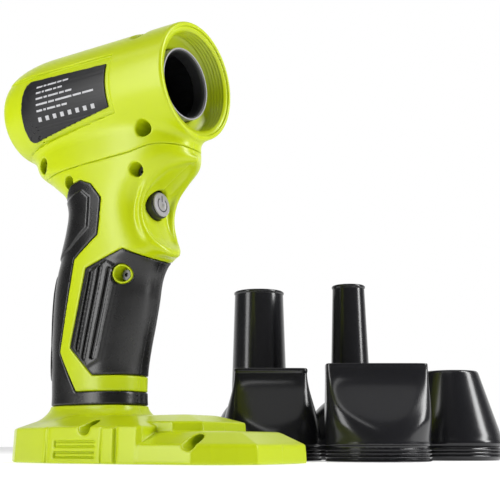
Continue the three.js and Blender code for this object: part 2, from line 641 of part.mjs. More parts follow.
// A tube whose circular bottom blends into a rounded rectangle at the top.
function roundToFlat(low, high, radius, halfLength, halfWidth, inset) {
  const geometry = new THREE.CylinderGeometry(1, 1, 1, 20, 4);
  geometry.rotateX(Math.PI / 2);
  reshape(geometry, (p) => {
    const t = p.z + 0.5;
    const blend = THREE.MathUtils.smoothstep(t, 0, 0.95);
    const power = 2 / THREE.MathUtils.lerp(2, 5, blend);
    const bulge = (value) => Math.sign(value) * Math.abs(value) ** power;
    const onAxis = Math.hypot(p.x, p.y) < 0.5;
    p.x = onAxis ? 0 : (THREE.MathUtils.lerp(radius, halfLength, blend) - inset) * bulge(p.x);
    p.y = onAxis ? 0 : (THREE.MathUtils.lerp(radius, halfWidth, blend) - inset) * bulge(p.y);
    p.z = THREE.MathUtils.lerp(low, high, t);
  });
  return solid(geometry);
}

function flangeSolid() {
  return solid(latheZ([[0, 0], ...FLANGE_PROFILE, [10, 27.4], [10, 0]], 20));
}

function flangeBore() {
  return solid(latheZ([[-1, 0], [-1, 23.4], [10.4, 23.4], [10.4, 0]], 14));
}

function addNozzles() {
  const wideTube = hollowNozzle([...bulb(27.6, 18.6, 9, 34, 4), [40, 17.4], [104, 15.6], [106, 16.2]]);
  const narrowTube = hollowNozzle([...bulb(27.6, 14, 9, 36, 4), [44, 12], [104, 9.8], [106, 10.4]]);
  const cone = hollowNozzle([[9, 27.6], [16, 26.5], [49, 16.4], [51, 15.8]]);
  const flat = flangeSolid().add(roundToFlat(9, 51, 27.4, 20.5, 7, 0)).subtract(flangeBore())
    .subtract(roundToFlat(8.8, 51.2, 27.4, 20.5, 7, NOZZLE_WALL));
  const slab = roundToFlat(9.2, 51.5, 27.4, 27.4, 7.5, 0);
  const coneSkirt = solid(latheZ([[9, 0], [9, 27.4], [40, 15], [40, 0]], 20));
  const fishtail = flangeSolid().add(slab).add(coneSkirt).subtract(flangeBore())
    .subtract(roundToFlat(9, 51.7, 27.4, 27.4, 7.5, NOZZLE_WALL));
  const shapes = { nozzle_wide_tube: wideTube, nozzle_narrow_tube: narrowTube, nozzle_flat: flat,
    nozzle_fishtail: fishtail, nozzle_cone: cone };
  for (const [name, shape] of Object.entries(shapes)) {
    const stand = new THREE.Group();
    stand.position.set(...NOZZLE_PLACES[name], 0);
    stand.rotation.z = NOZZLE_TURN;
    group.add(stand);
    piece(name, shape, BLACK_GLOSS, stand);
  }
}

// ---- The whole blower ------------------------------------------------------------------------------

addHeadShells();
addLabels();
addMouth();
addIntakeGrille();
addFanUnit();
addHandleShells();
addButton();
addTerminals();
addWires();
addScrews();
addNozzles();

export default group;
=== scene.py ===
"""Looks of the cordless turbo leaf blower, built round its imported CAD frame.

Lengths in this script are millimetres until mesh_object() turns them into metres.
X points the way the air blows, Y to the tool's left, Z up.
"""

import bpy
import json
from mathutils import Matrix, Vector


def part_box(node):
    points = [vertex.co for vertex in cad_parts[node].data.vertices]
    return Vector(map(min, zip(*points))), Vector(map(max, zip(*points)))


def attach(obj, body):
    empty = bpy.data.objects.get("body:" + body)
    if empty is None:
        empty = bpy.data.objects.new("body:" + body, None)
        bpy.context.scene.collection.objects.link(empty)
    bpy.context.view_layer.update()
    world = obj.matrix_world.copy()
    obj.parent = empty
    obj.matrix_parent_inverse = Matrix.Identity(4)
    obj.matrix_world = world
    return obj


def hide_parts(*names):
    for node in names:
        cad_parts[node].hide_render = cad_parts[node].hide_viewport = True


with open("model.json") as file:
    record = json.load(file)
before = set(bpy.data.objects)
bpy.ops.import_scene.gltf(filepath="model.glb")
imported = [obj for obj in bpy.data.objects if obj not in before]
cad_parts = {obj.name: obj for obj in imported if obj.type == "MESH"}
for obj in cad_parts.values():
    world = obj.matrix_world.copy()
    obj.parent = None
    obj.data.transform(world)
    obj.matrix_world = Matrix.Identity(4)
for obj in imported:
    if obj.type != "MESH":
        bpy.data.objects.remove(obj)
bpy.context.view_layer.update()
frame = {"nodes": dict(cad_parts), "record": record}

import copy
import json
import math

import bpy
import numpy as np
from mathutils import Matrix, Vector

MM = 0.001


def cad_box(*nodes):
    """Lowest and highest corner of some CAD nodes together, in millimetres."""
    boxes = [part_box(node) for node in nodes]
    low = np.min([box[0][:] for box in boxes], axis=0) / MM
    high = np.max([box[1][:] for box in boxes], axis=0) / MM
    return low, high


# ---- Places that come from the frame ---------------------------------------------------------------

HEAD_LOW, HEAD_HIGH = cad_box("head_shell_right", "head_shell_left")
FOOT_LOW, FOOT_HIGH = cad_box("handle_shell_right", "handle_shell_left")
DUCT_LOW, DUCT_HIGH = cad_box("fan_duct")
MOUTH_LOW, MOUTH_HIGH = cad_box("mouth_ring")
LABEL_LOW, LABEL_HIGH = cad_box("side_label_right")
RING_LOW, RING_HIGH = cad_box("outlet_ring")
CAP_LOW, CAP_HIGH = cad_box("button_cap")

AXIS_Z = (DUCT_LOW[2] + DUCT_HIGH[2]) / 2
BARREL_FRONT = HEAD_HIGH[0]
BARREL_REAR = HEAD_LOW[0]
BARREL_RADIUS = HEAD_HIGH[2] - AXIS_Z
FOOT_REAR = FOOT_LOW[0]
FOOT_FRONT = FOOT_HIGH[0]
FOOT_HALF = 39.0
BUTTON_X = (CAP_LOW[0] + CAP_HIGH[0]) / 2 - 3.0
BUTTON_Z = (CAP_LOW[2] + CAP_HIGH[2]) / 2 - 0.3
BUTTON_TILT = 0.1
WALL = 2.4
SEAM_GAP = 0.07  # half the width of the parting lines

# Handle and neck, as [height, value] points: the same design profiles as the CAD frame.
REAR_EDGE = [
    (18, -62.5), (28, -61), (46, -62.6), (64, -64), (86, -63.6), (104, -60), (120, -54.5),
    (130, -53), (139, -57), (147, -67), (156, -79), (172, -84),
]
FRONT_EDGE = [
    (18, -7), (28, -9.2), (44, -8.7), (56, -6.5), (68, -3.7), (80, -1.5), (92, 0.2), (99, 3.4),
    (104.6, 9), (112, 4.2), (121, 0), (129, -0.6), (136, 3), (143, 12.5), (148, 20), (153, 22.8), (172, 22),
]
HALF_WIDTH = [
    (18, 18.5), (28, 17.4), (60, 17.6), (92, 17.6), (115, 18.2), (130, 19), (145, 20.6),
    (156, 21.6), (172, 21),
]
REAR_SQUARENESS = [(18, 2.9), (60, 2.4), (100, 2.5), (130, 2.6), (172, 2.4)]
FRONT_SQUARENESS = [
    (18, 2.9), (60, 2.4), (96, 2.6), (106, 2.8), (116, 3.2), (132, 3.3), (146, 2.9), (172, 2.5),
]
SEAM = [(-110, 150), (-75, 150.5), (-35, 151.8), (-4, 153.6), (10, 156.6), (20, 156.2), (60, 152)]

# Each screw with the radius of its pocket.
HEAD_SCREWS = {"screw_barrel_top": 5.4, "screw_barrel_front": 4.2, "screw_barrel_rear": 4.3}
HANDLE_SCREWS = {
    "screw_neck_front": 3.5, "screw_neck_rear": 3.5, "screw_handle": 3.9,
    "screw_foot_rear": 3.5, "screw_foot_front": 3.5,
}
HANDLE_BOSS_RADIUS = 4.9
GRIP_DEPTH = 1.5
GRIP_GAP = 0.15
PANEL_RISE = 0.75  # how far the raised panels stand out of the rubber
LABEL_RECESS = 1.6
HALF_OVERLAP = 0.4  # how far each half reaches past the middle, so that no light shows through
STEP = 0.62  # size of the grid cells


def smooth_curve(points, heights):
    """Reads a smooth curve through [height, value] points at many heights."""
    xs, ys = np.array(points, dtype=float).T
    slopes = np.gradient(ys, xs)
    slopes[1:-1] = (ys[2:] - ys[:-2]) / (xs[2:] - xs[:-2])
    h = np.clip(heights, xs[0], xs[-1])
    i = np.clip(np.searchsorted(xs, h, side="right") - 1, 0, len(xs) - 2)
    span = xs[i + 1] - xs[i]
    t = (h - xs[i]) / span
    ease = t * t * (3 - 2 * t)
    bend = t * (1 - t) ** 2 * span * slopes[i] + t * t * (t - 1) * span * slopes[i + 1]
    return ys[i] * (1 - ease) + ys[i + 1] * ease + bend


# ---- Distance fields: every solid is a function that is negative inside -----------------------------


class Grid:
    """A block of space, sampled at even steps, on which solids are worked out."""

    def __init__(self, low, high, step):
        self.low = np.array(low, dtype=float)
        self.step = step
        counts = np.ceil((np.array(high) - self.low) / step).astype(int) + 1
        axes = [self.low[k] + step * np.arange(counts[k]) for k in range(3)]
        self.x = axes[0][:, None, None].astype(np.float32)
        self.y = axes[1][None, :, None].astype(np.float32)
        self.z = axes[2][None, None, :].astype(np.float32)
        self.shape = tuple(counts)

    def even(self, field):
        """Rescales a field so that it grows one millimetre per millimetre."""
        field = np.broadcast_to(field, self.shape)
        slope = np.sqrt(sum(g * g for g in np.gradient(field, self.step)))
        return (field / np.maximum(slope, 0.05)).astype(np.float32)

    def folded_part(self, low, high):
        """The part of the grid between two corners, with both sides folded to +Y, and its place."""
        place = []
        for axis, a, b in zip((self.x, self.y, self.z), low, high):
            indices = np.nonzero((axis.ravel() >= a) & (axis.ravel() <= b))[0]
            place.append(slice(indices[0], indices[-1] + 1))
        part = copy.copy(self)
        part.x, part.y, part.z = self.x[place[0]], np.abs(self.y[:, place[1]]), self.z[:, :, place[2]]
        return part, tuple(place)


def join(a, b, radius=0.0):
    """Union with a fillet."""
    if radius <= 0:
        return np.minimum(a, b)
    h = np.maximum(radius - np.abs(a - b), 0) / radius
    return np.minimum(a, b) - h * h * radius * 0.25


def overlap(a, b, radius=0.0):
    """Intersection with a rounded edge."""
    return -join(-a, -b, radius)


def cut(a, b, radius=0.0):
    """Subtraction with a rounded edge."""
    return overlap(a, -b, radius)


def outline_field(points, u, v):
    """Signed distance to a closed outline in two coordinates, negative inside."""
    u, v = np.broadcast_arrays(u, v)
    best = np.full(u.shape, 1e9, dtype=np.float32)
    inside = np.zeros(u.shape, dtype=bool)
    count = len(points)
    for i in range(count):
        (ax, ay), (bx, by) = points[i], points[(i + 1) % count]
        ex, ey = bx - ax, by - ay
        t = np.clip(((u - ax) * ex + (v - ay) * ey) / (ex * ex + ey * ey), 0, 1)
        best = np.minimum(best, (u - ax - t * ex) ** 2 + (v - ay - t * ey) ** 2)
        crosses = (ay > v) != (by > v)
        if by != ay:
            inside ^= crosses & (u < ax + (v - ay) * ex / ey)
    distance = np.sqrt(best)
    return np.where(inside, -distance, distance).astype(np.float32)


def rod_field(grid, start, end, radius):
    """A round rod between two points."""
    a, b = np.array(start, dtype=float), np.array(end, dtype=float)
    e = b - a
    t = ((grid.x - a[0]) * e[0] + (grid.y - a[1]) * e[1] + (grid.z - a[2]) * e[2]) / e.dot(e)
    t = np.clip(t, 0, 1)
    dx, dy, dz = grid.x - a[0] - t * e[0], grid.y - a[1] - t * e[1], grid.z - a[2] - t * e[2]
    return np.sqrt(dx * dx + dy * dy + dz * dz) - radius


def box_field(grid, low, high):
    """A block between two corners."""
    parts = []
    for axis, lo, hi in zip((grid.x, grid.y, grid.z), low, high):
        parts.append(np.abs(axis - (lo + hi) / 2) - (hi - lo) / 2)
    return np.maximum(np.maximum(parts[0], parts[1]), parts[2])


def surface(grid, field):
    """Points and quads of the surface where a field is zero, smooth and even."""
    field = np.broadcast_to(field, grid.shape)
    inside = field < 0
    shape = tuple(n - 1 for n in grid.shape)

    def corner(array, offset):
        return array[tuple(slice(o, o + n) for o, n in zip(offset, shape))]

    offsets = [(i, j, k) for i in (0, 1) for j in (0, 1) for k in (0, 1)]
    filled = sum(corner(inside, o).astype(np.int8) for o in offsets)
    cells = np.argwhere((filled > 0) & (filled < 8))
    number = np.full(shape, -1, dtype=np.int64)
    number[tuple(cells.T)] = np.arange(len(cells))

    total = np.zeros((len(cells), 3))
    count = np.zeros(len(cells))
    for o in offsets:
        for axis in range(3):
            if o[axis]:
                continue
            end = list(o)
            end[axis] = 1
            a = field[tuple((cells + o).T)]
            b = field[tuple((cells + end).T)]
            crossing = (a < 0) != (b < 0)
            t = np.where(crossing, a / np.where(crossing, a - b, 1), 0)
            point = np.array(o, dtype=float) + t[:, None] * np.eye(3)[axis]
            total += np.where(crossing[:, None], point, 0)
            count += crossing
    points = cells + total / count[:, None]

    quads = []
    for axis in range(3):
        u, v = (axis + 1) % 3, (axis + 2) % 3
        first = [slice(1, -1)] * 3
        first[axis] = slice(0, -1)
        second = [slice(1, -1)] * 3
        second[axis] = slice(1, None)
        before, after = inside[tuple(first)], inside[tuple(second)]
        for grows, flip in ((before & ~after, False), (~before & after, True)):
            edge = np.argwhere(grows)
            edge[:, u] += 1
            edge[:, v] += 1
            ring = []
            for du, dv in ((-1, -1), (0, -1), (0, 0), (-1, 0)):
                cell = edge.copy()
                cell[:, u] += du
                cell[:, v] += dv
                ring.append(number[tuple(cell.T)])
            quad = np.stack(ring, axis=1)
            quads.append(quad[:, ::-1] if flip else quad)
    points = settle(grid, field, points)
    return points * grid.step + grid.low, np.concatenate(quads)


def sample(array, points):
    """Reads an array between its samples."""
    base = np.clip(np.floor(points).astype(int), 0, np.array(array.shape) - 2)
    part = points - base
    value = np.zeros(len(points))
    for i in (0, 1):
        for j in (0, 1):
            for k in (0, 1):
                weight = np.ones(len(points))
                for axis, side in enumerate((i, j, k)):
                    weight *= part[:, axis] if side else 1 - part[:, axis]
                value += weight * array[base[:, 0] + i, base[:, 1] + j, base[:, 2] + k]
    return value


def settle(grid, field, points, rounds=2, reach=0.5):
    """Slides points onto the zero level along the field's slope."""
    moved = points.copy()
    for _ in range(rounds):
        value = sample(field, moved)
        slope = np.zeros_like(moved)
        for axis in range(3):
            nudge = np.zeros(3)
            nudge[axis] = 0.5
            slope[:, axis] = sample(field, moved + nudge) - sample(field, moved - nudge)
        size = np.maximum((slope * slope).sum(axis=1), (0.3 * grid.step) ** 2)
        moved -= slope * (value / size)[:, None]
        moved = points + np.clip(moved - points, -reach, reach)
    return moved


# ---- Blender objects -------------------------------------------------------------------------------


def mesh_object(name, points, faces, material, body, replaces=(), smooth=True):
    """One named piece of the tool from points in millimetres."""
    mesh = bpy.data.meshes.new(name)
    mesh.from_pydata((np.asarray(points) * MM).tolist(), [], [list(map(int, f)) for f in faces])
    mesh.validate()
    mesh.polygons.foreach_set("use_smooth", [smooth] * len(mesh.polygons))
    mesh.update()
    piece = bpy.data.objects.new(name, mesh)
    bpy.context.scene.collection.objects.link(piece)
    piece.data.materials.append(material)
    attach(piece, body)
    if replaces:
        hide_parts(*replaces)
    return piece


def field_object(name, grid, field, material, body="tool", replaces=()):
    points, quads = surface(grid, field)
    return mesh_object(name, points, quads, material, body, replaces)


# ---- Materials -------------------------------------------------------------------------------------


class Material:
    """A Principled material with a few shared procedural layers."""

    def __init__(self, name, color, roughness, **sockets):
        self.material = bpy.data.materials.new(name)
        self.material.use_nodes = True
        self.tree = self.material.node_tree
        self.shader = self.tree.nodes["Principled BSDF"]
        self.shader.inputs["Base Color"].default_value = (*color, 1)
        self.shader.inputs["Roughness"].default_value = roughness
        for socket, value in sockets.items():
            self.shader.inputs[socket.replace("_", " ")].default_value = value
        self.color = color
        self.roughness = roughness
        self.height = None

    def node(self, kind, **values):
        node = self.tree.nodes.new(kind)
        for key, value in values.items():
            if hasattr(node, key):
                setattr(node, key, value)
            else:
                node.inputs[key.replace("_", " ")].default_value = value
        return node

    def link(self, a, b):
        self.tree.links.new(a, b)

    def noise(self, scale, detail=2.0, roughness=0.5):
        place = self.node("ShaderNodeTexCoord")
        noise = self.node("ShaderNodeTexNoise", Scale=scale, Detail=detail, Roughness=roughness)
        self.link(place.outputs["Object"], noise.inputs["Vector"])
        return noise.outputs["Fac"]

    def ramp(self, source, low, high, start=0.3, end=0.7):
        ramp = self.node("ShaderNodeValToRGB")
        ramp.color_ramp.elements[0].position = start
        ramp.color_ramp.elements[1].position = end
        ramp.color_ramp.elements[0].color = (*low, 1)
        ramp.color_ramp.elements[1].color = (*high, 1)
        self.link(source, ramp.inputs["Fac"])
        return ramp.outputs["Color"]

    def vary_color(self, scale, amount):
        """Slow drift of the colour, as in moulded plastic."""
        dark = tuple(c * (1 - amount) for c in self.color)
        light = tuple(min(c * (1 + amount), 1) for c in self.color)
        self.link(self.ramp(self.noise(scale), dark, light), self.shader.inputs["Base Color"])
        return self

    def vary_roughness(self, scale, amount):
        value = self.node("ShaderNodeMapRange")
        value.inputs["To Min"].default_value = self.roughness - amount
        value.inputs["To Max"].default_value = self.roughness + amount
        self.link(self.noise(scale, 4.0), value.inputs["Value"])
        self.link(value.outputs["Result"], self.shader.inputs["Roughness"])
        return self

    def grain(self, scale, strength, distance=0.0001, detail=3.0):
        """Fine surface texture as bump."""
        bump = self.node("ShaderNodeBump", Strength=strength, Distance=distance)
        self.link(self.noise(scale, detail, 0.6), bump.inputs["Height"])
        if self.height:
            self.link(self.height, bump.inputs["Normal"])
        self.height = bump.outputs["Normal"]
        self.link(self.height, self.shader.inputs["Normal"])
        return self


def lime_plastic():
    lime = Material("lime_plastic", (0.47, 0.57, 0.002), 0.3, Specular_IOR_Level=0.4)
    lime.vary_color(9, 0.02).vary_roughness(300, 0.04)
    return lime.grain(1800, 0.12, 0.00006).material


def rubber():
    black = Material("grip_rubber", (0.004, 0.0038, 0.004), 0.27)
    black.vary_color(40, 0.12).vary_roughness(120, 0.06)
    return black.grain(2500, 0.3, 0.0001).material


def gloss_black():
    gloss = Material("nozzle_gloss", (0.010, 0.010, 0.012), 0.2)
    gloss.vary_roughness(90, 0.03)
    return gloss.grain(900, 0.03, 0.00005).material


def satin_black():
    satin = Material("satin_black", (0.02, 0.02, 0.022), 0.42)
    return satin.vary_color(60, 0.15).grain(2200, 0.2, 0.00008).material


def grey_plastic(name, color):
    grey = Material(name, color, 0.38)
    return grey.vary_color(50, 0.05).grain(2000, 0.12, 0.00006).material


def label_film():
    film = Material("label_film", (0.005, 0.005, 0.006), 0.34, Specular_IOR_Level=0.4)
    return film.vary_color(30, 0.1).grain(1500, 0.08, 0.00005).material


def print_white():
    ink = Material("label_print", (0.45, 0.45, 0.47), 0.5)
    return ink.vary_color(400, 0.08).material


def metal(name, color, roughness):
    bright = Material(name, color, roughness, Metallic=1.0)
    return bright.vary_roughness(200, 0.06).grain(700, 0.1, 0.00004).material


LIME = lime_plastic()
RUBBER = rubber()
GLOSS = gloss_black()
SATIN = satin_black()
GREY = grey_plastic("cap_grey", (0.32, 0.31, 0.33))
RING_GREY = grey_plastic("ring_grey", (0.32, 0.31, 0.33))
FILM = label_film()
INK = print_white()
STEEL = metal("screw_steel", (0.12, 0.12, 0.125), 0.4)
ALUMINIUM = metal("duct_aluminium", (0.05, 0.05, 0.055), 0.45)
BRASS = metal("terminal_brass", (0.7, 0.48, 0.18), 0.28)
BOARD = Material("board_green", (0.02, 0.16, 0.06), 0.4).vary_color(80, 0.2).material
RED = Material("wire_red", (0.4, 0.015, 0.015), 0.45).vary_color(80, 0.1).material


# ---- Solids of the tool as fields ------------------------------------------------------------------


def barrel_field(grid, inset=0.0):
    """Round barrel with its rounded rear end."""
    r = np.sqrt(grid.y ** 2 + (grid.z - AXIS_Z) ** 2)
    front = BARREL_FRONT + (0 if inset == 0 else 5)
    round_length, rim = 31.0 - inset, BARREL_RADIUS - 22.4
    into = np.clip((BARREL_REAR + 31.0 - grid.x) / round_length, 0, 1.2)
    shrink = rim * (1 - np.sqrt(np.clip(1 - into * into, 0, 1)))
    side = r - (BARREL_RADIUS - inset - shrink)
    rear = BARREL_REAR + inset - grid.x
    body = overlap(grid.even(side), rear, 3.0)
    if inset:
        return np.maximum(body, grid.x - front)
    return overlap(body, grid.x - front, 1.6)


def handle_field(grid, inset=0.0):
    """Handle and neck with a rounded rear and a squarer front."""
    heights = grid.z[0, 0, :]
    rear, front = smooth_curve(REAR_EDGE, heights) + inset, smooth_curve(FRONT_EDGE, heights) - inset
    half = smooth_curve(HALF_WIDTH, heights) - inset
    middle, depth = (rear + front) / 2, (front - rear) / 2
    front_n, rear_n = smooth_curve(FRONT_SQUARENESS, heights), smooth_curve(REAR_SQUARENESS, heights)
    n = np.where(grid.x > middle, front_n, rear_n)
    u = np.abs((grid.x - middle) / depth)
    v = np.abs(grid.y / half)
    power = (u ** n + v ** n + 1e-9) ** (1 / n)
    return grid.even((power - 1) * half)


# The raised rim round the button panel, on one side, from the seam down to the finger lip.
RIDGE = [
    (24, 0, 150.5), (20.5, 6, 150), (15.5, 10, 148), (9, 12.2, 143.5), (2.6, 13, 136.5), (-0.5, 13.2, 128.5),
    (-0.5, 13, 121), (2, 12.2, 113.5), (5.4, 10, 107.4), (8.4, 6, 104.2), (9.4, 0, 103.2),
]
RIDGE_REGION = ((-14, -41, 97), (30, 41, 157))


def rounded_path(points, rounds=2):
    """Cuts the corners of an open path until it runs smoothly."""
    path = np.array(points, dtype=float)
    for _ in range(rounds):
        quarter = 0.75 * path[:-1] + 0.25 * path[1:]
        three = 0.25 * path[:-1] + 0.75 * path[1:]
        middle = np.stack([quarter, three], axis=1).reshape(-1, 3)
        path = np.concatenate([path[:1], middle[1:-1], path[-1:]])
    return path


def ridge_field(grid, radius):
    """The raised rim, the same on both sides; far away from it the field is simply large."""
    near, place = grid.folded_part(*RIDGE_REGION)
    path = rounded_path(RIDGE)
    rods = None
    for start, end in zip(path, path[1:]):
        rod = rod_field(near, start, end, radius)
        rods = rod if rods is None else np.minimum(rods, rod)
    field = np.full(grid.shape, 20, dtype=np.float32)
    field[place] = rods
    return field


def seam_field(grid):
    """Negative below the seam between head and neck."""
    xs, zs = np.array(SEAM, dtype=float).T
    line = smooth_curve(list(zip(xs, zs)), grid.x[:, 0, 0])
    return grid.z - line[:, None, None]


def plan_field(grid, half_outline):
    """Distance to a plan outline, given as its half from rear to front."""
    outline = [(x, -y) for x, y in half_outline] + [(x, y) for x, y in reversed(half_outline)]
    return outline_field(outline, grid.x[:, :, 0], grid.y[:, :, 0])[:, :, None]


REAR_PLAN = [(FOOT_REAR, 10), (-82, 14), (-66, 27.5), (-36, 38), (-31, FOOT_HALF)]
LOW_TOP, REAR_TOP, MID_BASE, MID_TOP, ROOF = 8.3, 16.5, 14.4, 18.6, 22.5
STEP_X = 24.0
BAY_REAR = -50.0


def tier(grid, half_outline, base, draft, slope, height, roof, edge=0.8):
    """One tier of the foot: drafted sides under a top that slopes up from the outline to the roof."""
    plan = plan_field(grid, half_outline)
    sides = plan + np.tan(math.radians(draft)) * (grid.z - base)
    block = overlap(overlap(sides, grid.z - 30, 0.8), base - grid.z, 0.4)
    top = (grid.z - height + plan * slope) / math.hypot(1, slope)
    return overlap(overlap(block, top, edge), grid.z - roof, 0.8)


def foot_field(grid):
    """Battery foot: low front tier, tall rear tier and the middle tier that runs up to the collar."""
    low_plan = [*REAR_PLAN, (20, FOOT_HALF), (52, 38.6), (60, 35), (69, 27.6), (FOOT_FRONT, 21)]
    rear_plan = [*REAR_PLAN, (STEP_X - 2, FOOT_HALF), (STEP_X, FOOT_HALF - 2)]
    low = tier(grid, low_plan, 0, 3, 0.5, LOW_TOP, MID_BASE)
    rear = tier(grid, rear_plan, 0, 1.5, 0.36, REAR_TOP, ROOF)
    mid = tier(grid, [(-30, 27), (33, 27), (44, 18)], 6, 4, 0.28, MID_TOP, ROOF, 0.6)
    foot = join(join(low, rear, 0.5), mid, 0.5)
    rib = box_field(grid, (2.3, -FOOT_HALF - 0.9, -1), (9.5, FOOT_HALF + 0.9, REAR_TOP - 0.4))
    foot = join(foot, overlap(rib, overlap(grid.z - REAR_TOP, -grid.z, 0.5), 0.5), 0.3)
    foot = foot_grooves(grid, foot, -plan_field(grid, low_plan), -plan_field(grid, rear_plan))
    return overlap(foot, -grid.z, 0.4)


def foot_grooves(grid, foot, low_depth, rear_depth):
    """Upright grooves beside the ribs, and two long frames engraved in each side."""
    for x in (-33.5, 1.6, 10.2):
        groove = box_field(grid, (x - 0.6, -60, -5), (x + 0.6, 60, 40))
        foot = cut(foot, np.maximum(groove, low_depth - 0.8), 0.3)
    for z in (8.9, 3.9):
        outer = box_field(grid, (-28, -60, z - 1.5), (-2.5, 60, z + 1.5))
        inner = box_field(grid, (-27.1, -60, z - 0.7), (-1.6, 60, z + 0.7))
        frame_line = np.maximum(outer, -inner)
        foot = cut(foot, np.maximum(frame_line, rear_depth - 1.3), 0.1)
    return foot


def collar_field(grid):
    """Flared skirt that runs from the handle down on to the foot."""
    spread = np.clip((28 - grid.z) / 8, 0, 1) ** 1.6 * 5.0
    return handle_field(grid) - spread


def bay_field(grid):
    """The hollow under the foot that takes the battery's head, with its side rails."""
    bay = box_field(grid, (BAY_REAR, -30, 3), (STEP_X, 30, 10.5))
    bay = join(bay, box_field(grid, (BAY_REAR, -26.5, -2), (STEP_X, 26.5, 10.5)))
    bay = join(bay, box_field(grid, (-8, -30, -2), (STEP_X, 30, 10.5)))
    bay = join(bay, box_field(grid, (STEP_X - 1, -20, -2), (60, 20, 5.6)))
    return join(bay, box_field(grid, (-17.3, -13.3, -2), (17.3, 13.3, 11.5)))


def screw_distance(grid, name):
    """Distance from the axis of a screw, which runs across the tool."""
    low, high = cad_box(name)
    x, z = (low[0] + high[0]) / 2, (low[2] + high[2]) / 2
    return np.sqrt((grid.x - x) ** 2 + (grid.z - z) ** 2)


def screw_cut(grid, field, screws):
    """Pockets and bores of some screws, open on the right-hand side."""
    for name, radius in screws.items():
        head_depth = cad_box(name)[0][1]
        r = screw_distance(grid, name)
        field = cut(field, np.maximum(r - radius, grid.y - head_depth - 2.5), 0.5)
        field = cut(field, np.maximum(r - 1.7, grid.y - 9.5))
    return field


def screw_bosses(grid, screws, radius=5.0):
    """Posts across the inside that the screws go through."""
    field = None
    for name in screws:
        boss = screw_distance(grid, name) - radius
        field = boss if field is None else np.minimum(field, boss)
    return np.broadcast_to(field, grid.shape)


FRONT_GRIP = [(-32, 97.2), (-8.4, 105), (3.9, 99.6), (30, 92), (30, 42.6), (-25.7, 42.6), (-40.8, 57)]
REAR_GRIP = [
    (-90, 137.4), (-50, 138), (-44, 142.5), (-36, 144), (-28.5, 141), (-22, 133), (-24.4, 114), (-40.8, 103),
    (-49, 55), (-36, 34.5), (30, 34.5), (30, 28), (-90, 28),
]


def outline_xz(grid, points):
    """Distance to an outline drawn in the tool's side view."""
    return outline_field(points, grid.x[:, 0, :], grid.z[:, 0, :])[:, None, :]


def handle_outside(grid, handle):
    """Outside of the handle with its ridge, the collar and the foot."""
    above_foot = np.maximum(join(handle, ridge_field(grid, 1.5), 4.0), 20 - grid.z)
    collar = overlap(collar_field(grid), np.maximum(16 - grid.z, grid.z - 30), 0.3)
    return join(join(above_foot, collar, 1.0), foot_field(grid), 1.2)


def handle_shell(side):
    """Neck, handle core and foot, one half. side is -1 for the right-hand half."""
    low_y, high_y = (-41.5, 1.5) if side < 0 else (-1.5, 41.5)
    grid = Grid((FOOT_REAR - 1.5, low_y, -1.5), (FOOT_FRONT + 1.5, high_y, 160), STEP)
    handle = handle_field(grid)
    inside = np.maximum(handle_field(grid, WALL + 0.8), 26 - grid.z)
    shell = cut(handle_outside(grid, handle), cut(inside, screw_bosses(grid, HANDLE_SCREWS)))
    shell = cut(shell, bay_field(grid), 0.3)
    shell = cut(shell, box_field(grid, (-30, -8, 5), (-12, 8, 40)))
    grip_floor = -handle - GRIP_DEPTH - GRIP_GAP
    front_recess = overlap(outline_xz(grid, FRONT_GRIP) - 0.25, grip_floor)
    if side < 0:
        front_recess = cut(front_recess, screw_distance(grid, "screw_handle") - HANDLE_BOSS_RADIUS)
    rear_recess = overlap(outline_xz(grid, REAR_GRIP) - 0.25, grip_floor)
    shell = cut(cut(shell, front_recess, 0.35), rear_recess, 0.35)
    if side < 0:
        shell = screw_cut(grid, shell, HANDLE_SCREWS)
    shell = cut(shell, button_bore(grid), 0.4)
    shell = overlap(shell, seam_field(grid) + SEAM_GAP, 0.5)
    shell = overlap(shell, -side * grid.y - HALF_OVERLAP)
    name = "handle_shell_right" if side < 0 else "handle_shell_left"
    field_object(name + "_skin", grid, shell, LIME, "tool", [name])


def button_bore(grid):
    """Round hole for the power button, along the panel's normal."""
    along = (grid.x - BUTTON_X) * math.cos(BUTTON_TILT) + (grid.z - BUTTON_Z) * math.sin(BUTTON_TILT)
    across = -(grid.x - BUTTON_X) * math.sin(BUTTON_TILT) + (grid.z - BUTTON_Z) * math.cos(BUTTON_TILT)
    r = np.sqrt(across ** 2 + grid.y ** 2)
    return np.maximum(r - 7.5, -12 - along)


